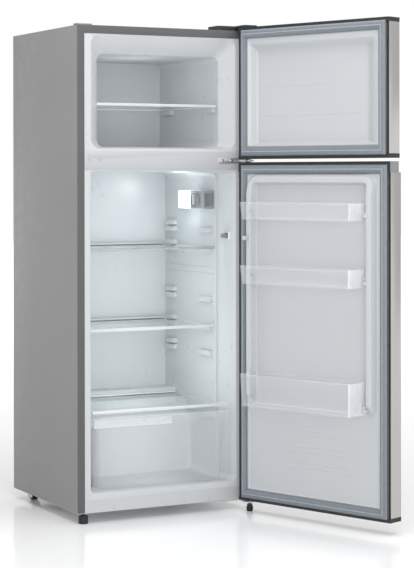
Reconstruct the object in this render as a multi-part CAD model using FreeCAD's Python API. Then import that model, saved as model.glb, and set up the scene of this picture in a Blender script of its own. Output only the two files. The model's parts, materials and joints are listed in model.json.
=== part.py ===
import FreeCAD, Part
import os
from math import cos, pi, sin, tan

# Two-door refrigerator with the freezer on top, both doors standing open.
#
# Working frame, in millimetres: X to the right seen from the front, Y from the
# front flange into the cabinet, Z up, zero on the floor under the middle of the
# cabinet's front edge. Doors are drawn closed and then swung to their rest angle.
# Every piece is finally moved so that the origin is the centre of the footprint.

V = FreeCAD.Vector

# ---- cabinet
HALF_W = 272.5
BODY_DEPTH = 482.0
BODY_BASE = 30.0
BODY_TOP = 1397.0
SHEET = 1.0
FLANGE_EDGE = 249.8
FLANGE_TOP = 1373.5
LINER_WALL = 2.0
LINER_SPLIT = 1018.0
KICK_TOP = 66.0
MULLION = (991.0, 1044.0)

# ---- fridge compartment: (half width, bottom, top, corner radius)
FRIDGE_MOUTH = (232.0, 82.0, 988.0, 16.0)
FRIDGE_STEP = (222.0, 85.0, 984.0, 16.0)
FRIDGE_ROOM = (215.0, 85.0, 984.0, 18.0)
STEP_Y = 95.0
FRIDGE_BACK = 430.0
HUMP_FOOT, HUMP_EDGE, HUMP_STEP = 246.0, 295.0, 362.0
HUMP_LOW, HUMP_HIGH = 300.0, 321.0

# ---- freezer compartment
FREEZER_MOUTH = (230.0, 1050.0, 1372.0, 30.0)
FREEZER_ROOM = (194.5, 1056.0, 1320.0, 20.0)
FREEZER_THROAT = 40.0
FREEZER_BACK = 427.0

# ---- compressor bay
BAY_FRONT, BAY_SHOULDER, BAY_TOP = 292.0, 338.0, 256.0
COMPRESSOR = V(60, 402, 59)
COMPRESSOR_R, COMPRESSOR_H = 70.0, 141.0
DECK_TOP = 50.0
DRAIN = V(20, 415, 230)
ROLLER_R, ROLLER_X, ROLLER_Y = 14.0, 230.0, 425.0

# ---- shelves
SHELF_LEVELS = (450.0, 524.0, 610.0, 755.0, 815.0)
UPPER_SHELF, LOWER_SHELF = 755.0, 524.0
SHELF_HALF = 211.0
SHELF_FRONT, SHELF_REAR = 98.0, 424.0
GLASS = 4.0
FREEZER_SHELF_Z = 1175.0
FREEZER_SHELF_HALF = 192.0
COVER_Z = 303.0

# ---- doors, drawn closed
PIN = V(254.7, -40, 0)
PIN_R, BUSH_R = 4.0, 4.06
PIN_BITE = 10.0
HINGE_PLATE = (BODY_BASE - 4.5, BODY_BASE - SHEET)
DOOR_FRONT, DOOR_BACK = -64.0, -12.0
SEAL_FACE = -0.5
SEAL_WIDTH = 26.0
FREEZER_DOOR = (1022.4, 1403.3)
FRIDGE_DOOR = (34.7, 1013.3)
FREEZER_OPEN, FRIDGE_OPEN = 109.3, 110.0
CAP = 12.0
GRIP_CAP = 30.0
DYKE_Z, DYKE_CREST = (312.0, 975.0), 14.0
BINS = {"upper": (851.0, 899.0), "middle": (668.0, 719.0), "lower": (321.0, 412.0)}
BIN_HALF, BIN_BACK, BIN_FRONT = 198.0, -8.0, 75.0
BIN_REST_Y, BIN_HOOK_Y = (1.0, 14.5), (4.0, 14.0)

# ---- control box on the right wall
CONTROL = (180.0, 215.0, 107.0, 271.0, 876.0, 930.0)
LAMP_FROM = 191.0
DIAL = V(170, 149, 903)
DIAL_R = 20.0
SWITCH = (224.0, 240.0, 30.0, 61.0, 787.0, 809.0)
LEVER_PIVOT = (228.0, 57.0)

# ---- centre of the footprint with both doors open, in the working frame
FOOTPRINT = V(92.5, -27.5, 0)


# ---------------------------------------------------------------- helpers
def block(x0, x1, y0, y1, z0, z1):
    """Box between two corners."""
    return Part.makeBox(x1 - x0, y1 - y0, z1 - z0, V(x0, y0, z0))


def rod(start, direction, radius, length):
    """Round bar from a start point."""
    return Part.makeCylinder(radius, length, start, direction)


def upright(x, y, z0, z1, radius):
    """Vertical round bar."""
    return rod(V(x, y, z0), V(0, 0, 1), radius, z1 - z0)


def fuse(shapes):
    """One solid from several that touch."""
    return shapes[0].multiFuse(shapes[1:]).removeSplitter()


def both_sides(shape):
    """A shape and its mirror image across the middle plane."""
    return [shape, shape.mirror(V(0, 0, 0), V(1, 0, 0))]


def runs_along(edge, axis):
    """True for an edge parallel to one axis."""
    box = edge.BoundBox
    spans = {"x": box.XLength, "y": box.YLength, "z": box.ZLength}
    return all(size < 0.001 or name == axis for name, size in spans.items())


def soften(shape, radius, axis, chosen=lambda point: True):
    """Round the edges along one axis whose middle point passes a test."""
    edges = [e for e in shape.Edges if runs_along(e, axis) and chosen(e.CenterOfMass)]
    return shape.makeFillet(radius, edges)


def outline(x0, x1, v0, v1, radius, level, upright_plane=True):
    """Rounded rectangle in the plane y = level, or z = level when not upright."""
    def at(u, v):
        return V(u, level, v) if upright_plane else V(u, v, level)

    centres = ((x1 - radius, v1 - radius), (x0 + radius, v1 - radius),
               (x0 + radius, v0 + radius), (x1 - radius, v0 + radius))
    arcs = []
    for quarter, (u, v) in enumerate(centres):
        angles = [(quarter + part) * pi / 2 for part in (0, 0.5, 1)]
        arcs.append([at(u + radius * cos(a), v + radius * sin(a)) for a in angles])
    edges = []
    for index, arc in enumerate(arcs):
        edges.append(Part.Arc(*arc).toShape())
        edges.append(Part.LineSegment(arc[2], arcs[(index + 1) % 4][0]).toShape())
    return Part.Wire(edges)


def tunnel(front, back, y0, y1, grow=0.0):
    """Straight-sided hollow between two rounded openings (half width, bottom, top, radius)."""
    wires = []
    for (half, low, high, radius), y in ((front, y0), (back, y1)):
        wires.append(outline(-half - grow, half + grow, low - grow, high + grow, radius + grow, y))
    return Part.makeLoft(wires, True, True)


def bar_along_x(points, x0, x1):
    """Bar with a (y, z) section."""
    ring = [V(x0, y, z) for y, z in points]
    return Part.Face(Part.makePolygon(ring + ring[:1])).extrude(V(x1 - x0, 0, 0))


def bar_along_z(points, z0, z1):
    """Bar with an (x, y) section."""
    ring = [V(x, y, z0) for x, y in points]
    return Part.Face(Part.makePolygon(ring + ring[:1])).extrude(V(0, 0, z1 - z0))


def ring_xz(outer, inner, y0, y1):
    """Upright rectangular frame; outer and inner are (x0, x1, z0, z1)."""
    solid = block(outer[0], outer[1], y0, y1, outer[2], outer[3])
    return solid.cut(block(inner[0], inner[1], y0, y1, inner[2], inner[3]))


def tube(points, radius, bend):
    """Round tube along straight runs joined by arcs of one bend radius."""
    edges, last = [], points[0]
    for before, here, after in zip(points, points[1:], points[2:]):
        d1 = (here - before).normalize()
        d2 = (after - here).normalize()
        half_turn = d1.getAngle(d2) / 2
        reach = bend * tan(half_turn)
        inward = (d2 - d1).normalize()
        start, end = here - d1 * reach, here + d2 * reach
        middle = here + inward * (bend / cos(half_turn) - bend)
        edges += [Part.LineSegment(last, start).toShape(), Part.Arc(start, middle, end).toShape()]
        last = end
    edges.append(Part.LineSegment(last, points[-1]).toShape())
    ring = Part.Wire([Part.makeCircle(radius, points[0], points[1] - points[0])])
    return Part.Wire(edges).makePipeShell([ring], True, True)


def group(shapes):
    """Separate solids kept in one node."""
    return Part.makeCompound(shapes)


# ---------------------------------------------------------------- hollows
def fridge_hollow(grow=0.0):
    """The fridge compartment, or the outside of its liner when grown."""
    mouth = tunnel(FRIDGE_MOUTH, FRIDGE_STEP, SHEET, STEP_Y + grow, grow)
    room = tunnel(FRIDGE_ROOM, FRIDGE_ROOM, STEP_Y - grow, FRIDGE_BACK + grow, grow)
    hump = bar_along_x(
        [(HUMP_FOOT + grow, 0), (HUMP_FOOT + grow, FRIDGE_ROOM[1]), (HUMP_EDGE + grow, HUMP_LOW - grow),
         (HUMP_STEP + grow, HUMP_LOW - grow), (HUMP_STEP + grow, HUMP_HIGH - grow),
         (BODY_DEPTH, HUMP_HIGH - grow), (BODY_DEPTH, 0)], -HALF_W, HALF_W)
    return fuse([mouth, room]).cut(hump)


def freezer_hollow(grow=0.0):
    """The freezer compartment with its bevelled mouth."""
    mouth = tunnel(FREEZER_MOUTH, FREEZER_ROOM, SHEET, FREEZER_THROAT, grow)
    room = tunnel(FREEZER_ROOM, FREEZER_ROOM, FREEZER_THROAT, FREEZER_BACK + grow, grow)
    return fuse([mouth, room])


def bay_hollow(grow=0.0):
    """The compressor bay, open at the back and underneath."""
    rear, half = BODY_DEPTH, HALF_W - SHEET
    points = [(BAY_FRONT - grow, BODY_BASE), (BAY_FRONT - grow, 60), (BAY_SHOULDER - grow, BAY_TOP + grow),
              (rear, BAY_TOP + grow), (rear, BODY_BASE)]
    return bar_along_x(points, -half, half)


def drain_bore(radius):
    """Straight drain from the fridge's rear ledge to the tray."""
    return rod(DRAIN, V(0, 0, 1), radius, HUMP_HIGH - DRAIN.z)


# ---------------------------------------------------------------- cabinet
def cabinet_shell():
    """Sheet steel wrapped over both sides and the top, with a front flange."""
    outer = block(-HALF_W, HALF_W, 0, BODY_DEPTH, BODY_BASE, BODY_TOP)
    outer = soften(outer, 3, "y", lambda p: p.z > BODY_TOP - 1)
    inner = block(-HALF_W + SHEET, HALF_W - SHEET, SHEET, BODY_DEPTH, BODY_BASE, BODY_TOP - SHEET)
    opening = block(-FLANGE_EDGE, FLANGE_EDGE, 0, SHEET, BODY_BASE, FLANGE_TOP)
    return outer.cut(inner).cut(opening)


def back_panel():
    """Steel sheet over the back, down to the compressor bay."""
    half = HALF_W - SHEET
    panel = block(-half, half, BODY_DEPTH - SHEET, BODY_DEPTH, BAY_TOP + SHEET, BODY_TOP - SHEET)
    ribs = []
    for z in (520, 760, 1000, 1240):
        ribs.append(block(-half + 40, half - 40, BODY_DEPTH, BODY_DEPTH + 1.5, z, z + 12))
    return fuse([panel] + ribs)


def bay_panel():
    """Folded steel sheet between the foam and the compressor bay."""
    return bay_hollow(SHEET).cut(bay_hollow())


def base_frame():
    """Front base plate, rear rails, compressor deck and roller axles, welded together."""
    half = HALF_W - SHEET
    plate = block(-half, half, SHEET, BAY_FRONT + 6, BODY_BASE - SHEET, BODY_BASE)
    plate = plate.cut(upright(-250, 12, BODY_BASE - SHEET, BODY_BASE, 5.05))
    riser = block(-half, half, BAY_FRONT + 5, BAY_FRONT + 6, BODY_BASE, DECK_TOP)
    deck = block(-half, half, BAY_FRONT + 5, BODY_DEPTH - 4, DECK_TOP - 2, DECK_TOP)
    pieces = [plate, riser, deck]
    pieces += both_sides(block(half - 2, half, BAY_FRONT + 5, BODY_DEPTH - 4, BODY_BASE, DECK_TOP))
    for x in (ROLLER_X - 14, ROLLER_X + 12):
        pieces += both_sides(block(x, x + 2, ROLLER_Y - 16, ROLLER_Y + 16, ROLLER_R - 6, DECK_TOP - 2))
    pieces += both_sides(rod(V(ROLLER_X - 14, ROLLER_Y, ROLLER_R), V(1, 0, 0), 3, 28))
    pieces += [upright(x, y, DECK_TOP, DECK_TOP + 12, 3) for x, y in compressor_feet()]
    pieces.append(block(-170, -130, BODY_DEPTH - 6, BODY_DEPTH - 4, DECK_TOP, DECK_TOP + 32))
    return fuse(pieces).cut(cord_passage(9.0))


def cabinet_foam(inserts):
    """Insulation between shell and liners, cut back round everything set into it."""
    half = HALF_W - SHEET
    foam = block(-half, half, SHEET + LINER_WALL, BODY_DEPTH - SHEET, BODY_BASE, BODY_TOP - SHEET)
    foam = foam.cut(fridge_hollow(LINER_WALL)).cut(freezer_hollow(LINER_WALL)).cut(bay_hollow(SHEET))
    for pocket in both_sides(block(half - 6, half, 60, 440, 300, 1300)):
        foam = foam.cut(pocket)
    for insert in inserts:
        foam = foam.cut(insert)
    return foam


def shelf_lugs(inner, wall, level, spans, above):
    """Moulded supports on both side walls at one shelf level."""
    lugs = []
    for y0, y1 in spans:
        lugs += both_sides(block(inner, wall, y0, y1, level - 11, level + 3.6))
    if above:
        y0, y1 = spans[-1]
        lugs += both_sides(block(inner, wall, y0, y1, level + 8.8, level + 22))
    return lugs


def fridge_liner():
    """Formed plastic lining of the fridge with its shelf supports."""
    half = FLANGE_EDGE + 12
    flange = block(-half, half, SHEET, SHEET + LINER_WALL, BODY_BASE, LINER_SPLIT)
    liner = fuse([flange, fridge_hollow(LINER_WALL)]).cut(fridge_hollow())
    wall = FRIDGE_ROOM[0] + 1
    lugs = []
    for level in SHELF_LEVELS:
        lugs += shelf_lugs(204, wall, level, ((114, 190), (350, 408)), True)
    lugs += shelf_lugs(203, wall, COVER_Z - 4, ((110, 230),), False)
    for z in (363, 381, 681, 699):
        lugs += both_sides(block(wall - 2.5, wall, 110, 420, z, z + 3))
    return fuse([liner] + lugs).cut(drain_bore(7)).cut(block(*SWITCH))


def freezer_liner():
    """Formed plastic lining of the freezer with its shelf supports."""
    half = FLANGE_EDGE + 12
    flange = block(-half, half, SHEET, SHEET + LINER_WALL, LINER_SPLIT, FLANGE_TOP + 12)
    liner = fuse([flange, freezer_hollow(LINER_WALL)]).cut(freezer_hollow())
    spans = ((62, 92), (330, 400))
    lugs = shelf_lugs(185, FREEZER_ROOM[0] + 1, FREEZER_SHELF_Z - 4, spans, False)
    return fuse([liner] + lugs)


def mullion_cover():
    """Strip across the front between the two compartments."""
    cover = block(-FLANGE_EDGE, FLANGE_EDGE, 0, SHEET, *MULLION)
    for x, z in mullion_holes():
        cover = cover.cut(rod(V(x, 0, z), V(0, 1, 0), 4, SHEET))
    return cover


def mullion_holes():
    """Places of the two plugged screw holes."""
    return ((-231.8, 1024.0), (-202.6, 1022.0))


def mullion_screw_caps():
    """Press-in plugs in the mullion's spare hinge holes."""
    caps = []
    for x, z in mullion_holes():
        stem = rod(V(x, 0, z), V(0, 1, 0), 4, SHEET)
        caps.append(fuse([stem, rod(V(x, -1.2, z), V(0, 1, 0), 5.5, 1.2)]))
    return group(caps)


def bottom_trim():
    """Plastic strip under the fridge opening."""
    trim = block(-FLANGE_EDGE, FLANGE_EDGE, 0, SHEET, BODY_BASE, KICK_TOP)
    return fuse([trim, block(-FLANGE_EDGE, FLANGE_EDGE, -0.4, 0, KICK_TOP - 3, KICK_TOP)])


def hinge_plug_cover():
    """Blanking cover on the corner without a hinge."""
    cover = block(-HALF_W, -226, 0.5, 26, BODY_TOP, BODY_TOP + 4)
    return soften(cover, 2, "x", lambda p: p.z > BODY_TOP + 3)


def evaporator_plates():
    """Cold plate behind the fridge liner and cold sleeve round the freezer liner."""
    back = FRIDGE_BACK + LINER_WALL
    plate = block(-190, 190, back, back + 1.5, 560, 960)
    sleeve = tunnel(FREEZER_ROOM, FREEZER_ROOM, 70, 415, LINER_WALL + 1.5)
    sleeve = sleeve.cut(tunnel(FREEZER_ROOM, FREEZER_ROOM, 70, 415, LINER_WALL))
    return group([plate, sleeve])


def condenser_tube():
    """Serpentine of thin tube against the inside of each side sheet."""
    x, low, high = HALF_W - SHEET - 3, 320, 1280
    points = []
    for index, y in enumerate(range(80, 430, 48)):
        ends = (low, high) if index % 2 == 0 else (high, low)
        points += [V(x, y, z) for z in ends]
    return group(both_sides(tube(points, 2.4, 18)))


# ---------------------------------------------------------------- compressor bay
def compressor_feet():
    """Places of the compressor's four rubber mounts."""
    return [(COMPRESSOR.x + dx, COMPRESSOR.y + dy) for dx in (-95, 95) for dy in (-42, 42)]


def compressor():
    """Sealed motor-compressor can on its mounting foot."""
    can = rod(COMPRESSOR, V(0, 0, 1), COMPRESSOR_R, COMPRESSOR_H)
    can = can.makeFillet(40, [e for e in can.Edges if isinstance(e.Curve, Part.Circle)])
    seam = upright(COMPRESSOR.x, COMPRESSOR.y, COMPRESSOR.z + 68, COMPRESSOR.z + 72, COMPRESSOR_R + 3)
    foot = block(COMPRESSOR.x - 108, COMPRESSOR.x + 108, 350, 454, COMPRESSOR.z, COMPRESSOR.z + 3)
    for x, y in compressor_feet():
        foot = foot.cut(upright(x, y, 40, 80, 3))
    return fuse([can, seam, foot])


def compressor_grommets():
    """Rubber mounts between the deck and the compressor's foot."""
    mounts = []
    for x, y in compressor_feet():
        ring = upright(x, y, DECK_TOP, COMPRESSOR.z, 11)
        mounts.append(ring.cut(upright(x, y, DECK_TOP, COMPRESSOR.z, 3)))
    return group(mounts)


def terminal_cover():
    """Plastic cover over the compressor's relay and terminals."""
    x = COMPRESSOR.x + COMPRESSOR_R - 4
    box = soften(block(x, x + 38, 376, 428, 92, 152), 4, "x")
    return box.cut(compressor())


def refrigerant_tubes():
    """Suction and discharge tubes with the filter drier."""
    side = COMPRESSOR.x - COMPRESSOR_R
    suction = tube([V(side + 12, 402, 100), V(side - 70, 402, 100), V(side - 70, 402, 236),
                    V(side - 120, 402, 236), V(side - 120, 468, 236), V(side - 120, 468, BAY_TOP)], 4, 14)
    drier = upright(side - 40, 440, 96, 186, 9.5)
    drier = drier.makeFillet(6, [e for e in drier.Edges if isinstance(e.Curve, Part.Circle)])
    discharge = tube([V(side + 14, 430, 80), V(side - 40, 430, 80), V(side - 40, 440, 80),
                      V(side - 40, 440, 100)], 2.5, 4.5)
    outlet = tube([V(side - 40, 440, 182), V(side - 40, 440, 232), V(side - 160, 440, 232),
                   V(side - 160, 440, BAY_TOP)], 2.5, 8)
    body = compressor()
    return group([suction.cut(body), fuse([discharge.cut(body), drier, outlet])])


def drip_tray():
    """Evaporation tray on top of the compressor."""
    x, z = COMPRESSOR.x, COMPRESSOR.z + COMPRESSOR_H
    outer = soften(block(x - 80, x + 80, 348, 458, z, z + 24), 8, "z")
    inner = soften(block(x - 78, x + 78, 350, 456, z + 2, z + 24), 6, "z")
    return outer.cut(inner)


def drain_tube():
    """Drain from the fridge's rear ledge to the tray."""
    return drain_bore(7).cut(drain_bore(5.5))


def cord_passage(radius):
    """Straight bore at the place where the mains lead would enter."""
    return rod(V(-150, BODY_DEPTH - 16, DECK_TOP + 20), V(0, 1, 0), radius, 22)


def cord_gland():
    """Plastic bush in the rear tab for a mains lead."""
    bush = cord_passage(9.0).common(block(-200, -100, BODY_DEPTH - 14, BODY_DEPTH + 2, 0, 200))
    collar = rod(V(-150, BODY_DEPTH - 4, DECK_TOP + 20), V(0, 1, 0), 12, 3)
    return fuse([bush, collar]).cut(cord_passage(4.0))


def wall_spacers():
    """Four pads that keep the back off the wall."""
    pads = []
    for z in (330, 1300):
        pad = block(180, 216, BODY_DEPTH, BODY_DEPTH + 10, z, z + 46)
        pads += both_sides(soften(pad, 4, "y"))
    return group(pads)


def rear_roller(side):
    """Plastic roller turning on the base frame's axle."""
    x = side * ROLLER_X
    wheel = rod(V(x - 10, ROLLER_Y, ROLLER_R), V(1, 0, 0), ROLLER_R, 20)
    wheel = wheel.makeChamfer(1.5, [e for e in wheel.Edges if isinstance(e.Curve, Part.Circle)])
    return wheel.cut(rod(V(x - 10, ROLLER_Y, ROLLER_R), V(1, 0, 0), 3.06, 20))


def levelling_foot_left():
    """Knurled disc foot on a threaded stem."""
    x, y, ridges = -250.0, 12.0, 24
    disc = upright(x, y, 0, 22, 13.5)
    disc = disc.makeChamfer(1.5, [e for e in disc.Edges if isinstance(e.Curve, Part.Circle)])
    for index in range(ridges):
        turn = 2 * pi * index / ridges
        disc = disc.cut(upright(x + 13.8 * cos(turn), y + 13.8 * sin(turn), 4, 22, 0.9))
    return fuse([disc, upright(x, y, 22, BODY_BASE, 5)])


def levelling_foot_right():
    """Tapered foot on a threaded stem below the bottom hinge pin."""
    cone = Part.makeCone(8.5, 10.5, 12, V(PIN.x, PIN.y, 0), V(0, 0, 1))
    collar = upright(PIN.x, PIN.y, 12, 20, 8)
    return fuse([cone, collar, upright(PIN.x, PIN.y, 20, HINGE_PLATE[1] - 0.6, PIN_R)])


# ---------------------------------------------------------------- hinges
def pin_between(z0, z1):
    """Hinge pin on the doors' common axis."""
    return upright(PIN.x, PIN.y, z0, z1, PIN_R)


def hinge_arm(z0, z1, y1):
    """Flat arm with a rounded nose round the hinge axis."""
    arm = block(PIN.x - 13, PIN.x + 13, PIN.y, y1, z0, z1)
    return fuse([arm, upright(PIN.x, PIN.y, z0, z1, 13)])


def top_hinge_bracket():
    """Stepped steel bracket on the roof with a pin pointing down."""
    under = FREEZER_DOOR[1] + 1
    foot = block(182, 267.7, 6, 58, BODY_TOP, BODY_TOP + 2.5)
    riser = block(PIN.x - 13, PIN.x + 13, 4, 8, BODY_TOP, under + 2.5)
    pin = pin_between(FREEZER_DOOR[1] - PIN_BITE, under)
    return fuse([foot, riser, hinge_arm(under, under + 2.5, 4), pin])


def top_hinge_cover():
    """Moulded cover over the top hinge."""
    door_gap = FREEZER_DOOR[1] + 0.7
    pads = []
    for inset in (0.0, 2.0):
        rear = block(173 + inset, HALF_W - inset, 1 + inset, 66 - inset, BODY_TOP, 1410 - inset)
        front = block(228 + inset, HALF_W - inset, -58 + inset, 12, door_gap, 1410 - inset)
        pads.append(soften(fuse([rear, front]), 6 - inset, "z"))
    return pads[0].cut(pads[1])


def middle_hinge_bracket():
    """Plate screwed to the mullion, with pins up and down."""
    low, high = 1015.8, 1019.8
    flange = soften(block(172.5, 262, -2.5, 0, 1010, 1026), 4, "y")
    pins = [pin_between(high, FREEZER_DOOR[0] + PIN_BITE), pin_between(FRIDGE_DOOR[1] - PIN_BITE, low)]
    return fuse([flange, hinge_arm(low, high, 0)] + pins)


def bottom_hinge_bracket():
    """Plate under the cabinet with a pin up and a thread for the foot."""
    low, high = HINGE_PLATE
    plate = block(186, PIN.x + 13, 0, 70, low, high)
    pin = pin_between(high, FRIDGE_DOOR[0] + PIN_BITE)
    bracket = fuse([plate, hinge_arm(low, high, 0), pin])
    return bracket.cut(upright(PIN.x, PIN.y, low, high - 0.3, BUSH_R))


def hinge_screws():
    """Flanged hexagon-head screws that hold the three brackets."""
    heads = []
    places = [(V(x, y, BODY_TOP + 2.5), V(0, 0, 1)) for x, y in ((196, 22), (196, 44), (226, 33))]
    places += [(V(x, -2.5, 1018), V(0, -1, 0)) for x in (186, 216)]
    places += [(V(x, y, HINGE_PLATE[0]), V(0, 0, -1)) for x, y in ((200, 20), (200, 52), (236, 36))]
    for point, out in places:
        washer = rod(point, out, 5.5, 0.8)
        across = V(0, 0, 1) if abs(out.z) < 0.5 else V(1, 0, 0)
        ring = [point + out * 0.8 + FreeCAD.Rotation(out, 60 * k).multVec(across) * 4.2 for k in range(6)]
        head = Part.Face(Part.makePolygon(ring + ring[:1])).extrude(out * 2)
        heads.append(fuse([washer, head]))
    return group(heads)


# ---------------------------------------------------------------- doors
def door_skin(z0, z1):
    """Thin sheet over the front and both edges of a door."""
    outer = block(-HALF_W, HALF_W, DOOR_FRONT, DOOR_BACK - 2, z0, z1)
    outer = soften(outer, 6, "z", lambda p: p.y < DOOR_FRONT + 1)
    lips = both_sides(block(264.5, HALF_W - SHEET, DOOR_BACK - 3, DOOR_BACK - 2, z0, z1))
    return fuse([outer.cut(door_core(z0, z1))] + lips)


def door_core(z0, z1):
    """Room inside a door's skin."""
    core = block(-HALF_W + SHEET, HALF_W - SHEET, DOOR_FRONT + SHEET, DOOR_BACK - 2, z0, z1)
    return soften(core, 5, "z", lambda p: p.y < DOOR_FRONT + 2)


def door_cap(z0, z1, front=DOOR_FRONT):
    """Moulded end cap across a door."""
    cap = block(-HALF_W, HALF_W, front, DOOR_BACK, z0, z1)
    return soften(cap, 5, "z", lambda p: p.y < front + 1)


def bushed(cap, z0, z1):
    """A cap with the hinge pin's bore."""
    return cap.cut(upright(PIN.x, PIN.y, z0, z1, BUSH_R))


def gasket(z0, z1):
    """Magnetic seal: a flat base with a raised sealing rib."""
    low, high = z0 + 8, z1 - 8
    inner = (-237, 237, low + SEAL_WIDTH, high - SEAL_WIDTH)
    base = ring_xz((-265, 265, low, high), inner, DOOR_BACK, -6)
    rib = ring_xz((-258, 258, low + 6, high - 6), (-248, 248, low + 16, high - 16), -6, SEAL_FACE)
    return fuse([base, rib])


def liner_sheet(z0, z1):
    """Flat flange of a door's inner panel, held under the seal."""
    return block(-HALF_W + 8, HALF_W - 8, DOOR_BACK - 2, DOOR_BACK, z0, z1)


def liner_bead(z0, z1):
    """Raised bead just inside the seal."""
    low, high = z0 + 8 + SEAL_WIDTH, z1 - 8 - SEAL_WIDTH
    outer, inner = 236.5, 231.0
    return ring_xz((-outer, outer, low + 0.5, high - 0.5), (-inner, inner, low + 5, high - 5),
                   DOOR_BACK, DOOR_BACK + 3)


def freezer_pan(grow=0.0):
    """Shallow bevelled recess in the freezer door's inner panel."""
    rim = outline(-230 - grow, 230 + grow, 1059 - grow, 1354 + grow, 14 + grow, DOOR_BACK)
    floor = outline(-182 - grow, 214 + grow, 1070 - grow, 1331 + grow, 18 + grow, DOOR_BACK - 22 - grow)
    return Part.makeLoft([rim, floor], True, True)


def freezer_door_liner():
    """Inner panel of the freezer door."""
    low, high = FREEZER_DOOR[0] + CAP, FREEZER_DOOR[1] - CAP
    panel = fuse([liner_sheet(low, high), freezer_pan(LINER_WALL)]).cut(freezer_pan())
    floor = DOOR_BACK - 22
    ribs = [block(-150, 190, floor - 0.5, floor + 0.9, z, z + 3) for z in (1149, 1233)]
    return fuse([panel, liner_bead(*FREEZER_DOOR)] + ribs)


def freezer_door_foam():
    """Insulation in the freezer door."""
    core = door_core(FREEZER_DOOR[0] + CAP, FREEZER_DOOR[1] - CAP)
    return core.cut(freezer_pan(LINER_WALL)).cut(skin_lips(core))


def skin_lips(core):
    """Room taken by the folded edges of a door's skin."""
    box = core.BoundBox
    lips = both_sides(block(264.5, HALF_W, DOOR_BACK - 3, DOOR_BACK - 2, box.ZMin, box.ZMax))
    return group(lips)


def door_dykes(inset=0.0):
    """Ridges that carry the bins: one up each side and a low one across the top."""
    low, high = DYKE_Z[0] + inset, DYKE_Z[1] - inset
    root, crest = DOOR_BACK - inset, DYKE_CREST - inset
    side = bar_along_z([(232 - inset, root), (221 - inset, crest), (207 + inset, crest), (203 + inset, root)],
                       low, high)
    ramp = bar_along_x([(root - 1, low - 1), (crest + 1, low - 1), (crest + 1, low + 38)], 190, 240)
    top = bar_along_x([(root, high + 3), (6 - inset, high - 6), (6 - inset, high - 18), (root, high - 28)],
                      -206, 206)
    return fuse(both_sides(side.cut(ramp)) + [top])


def bin_lugs():
    """Rests on the dykes' inner faces, one pair for each bin."""
    lugs = []
    for low, high in BINS.values():
        lugs += both_sides(block(199.4, 208, *BIN_REST_Y, low + 8, low + 18))
    return lugs


def fridge_door_liner():
    """Inner panel of the fridge door with its dykes and bin rests."""
    low, high = FRIDGE_DOOR[0] + CAP, FRIDGE_DOOR[1] - GRIP_CAP
    sheet = liner_sheet(low, high)
    ribs = [block(-120, 60, DOOR_BACK - 0.5, DOOR_BACK + 1, z, z + 4) for z in (150, 196, 242)]
    striker = block(209, 219, DYKE_CREST - 3, 34, 790, 802)
    skin = fuse([sheet, door_dykes(), liner_bead(*FRIDGE_DOOR)] + bin_lugs() + ribs + [striker])
    return skin.cut(door_dykes(LINER_WALL))


def fridge_door_foam():
    """Insulation in the fridge door, filling the dykes."""
    core = door_core(FRIDGE_DOOR[0] + CAP, FRIDGE_DOOR[1] - GRIP_CAP)
    return fuse([core.cut(skin_lips(core)), door_dykes(LINER_WALL)])


def fridge_door_grip_cap():
    """Set-back top cap with a finger pocket."""
    z0, z1 = FRIDGE_DOOR[1] - GRIP_CAP, FRIDGE_DOOR[1]
    pocket = soften(block(-190, 190, -50, -28, z0 + 8, z1), 6, "z")
    return bushed(door_cap(z0, z1, -54).cut(pocket), z1 - PIN_BITE - 1, z1)


def door_bin(low, high):
    """Open tray with a hook on each end."""
    shapes = []
    for wall in (0.0, 2.0):
        floor, rim = low + wall, high
        wires = []
        for z, draw in ((floor, 5.0), (rim, 0.0)):
            half = BIN_HALF - wall - draw
            wires.append(outline(-half, half, BIN_BACK + wall, BIN_FRONT - wall - draw, 10 - wall, z, False))
        shapes.append(Part.makeLoft(wires, True, True))
    hooks = both_sides(block(BIN_HALF - 8, 202.4, *BIN_HOOK_Y, low + 18.4, low + 28))
    lip = block(-180, 180, BIN_FRONT - 4, BIN_FRONT + 1.5, high - 5, high)
    return fuse([shapes[0]] + hooks + [lip]).cut(shapes[1])


# ---------------------------------------------------------------- shelves and drawer
def shelf_glass(level):
    """Toughened glass of a fridge shelf."""
    return block(-SHELF_HALF, SHELF_HALF, SHELF_FRONT + 6, SHELF_REAR - 4, level + 4, level + 4 + GLASS)


def shelf_trims(level):
    """Front and rear plastic trims pushed onto the glass."""
    front = block(-SHELF_HALF - 1, SHELF_HALF + 1, SHELF_FRONT, SHELF_FRONT + 14, level + 1.5, level + 10)
    front = soften(front, 2.5, "x", lambda p: p.y < SHELF_FRONT + 1)
    rear = block(-201, 201, SHELF_REAR - 12, SHELF_REAR, level + 1, level + 13)
    glass = shelf_glass(level)
    return group([front.cut(glass), rear.cut(glass)])


def freezer_shelf_glass():
    """Freezer shelf plate."""
    half, z = FREEZER_SHELF_HALF, FREEZER_SHELF_Z
    return block(-half, half, 49, 405, z, z + GLASS)


def freezer_shelf_trim():
    """Front trim of the freezer shelf."""
    half, z = FREEZER_SHELF_HALF, FREEZER_SHELF_Z
    trim = soften(block(-half, half, 45, 57, z - 1.5, z + 7), 2, "x", lambda p: p.y < 46)
    return trim.cut(freezer_shelf_glass())


def crisper_cover_glass():
    """Glass shelf over the crisper drawer."""
    return block(-209, 209, 28, 356, COVER_Z, COVER_Z + GLASS)


def crisper_cover_trims():
    """Front and rear trims of the crisper's glass shelf."""
    front = soften(block(-216.5, 216.5, 20, 34, COVER_Z - 2, COVER_Z + 6.5), 2.5, "x", lambda p: p.y < 21)
    rear = block(-208, 208, 346, 361, HUMP_LOW + 0.3, COVER_Z + GLASS + 3)
    glass = crisper_cover_glass()
    return group([front.cut(glass), rear.cut(glass)])


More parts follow.
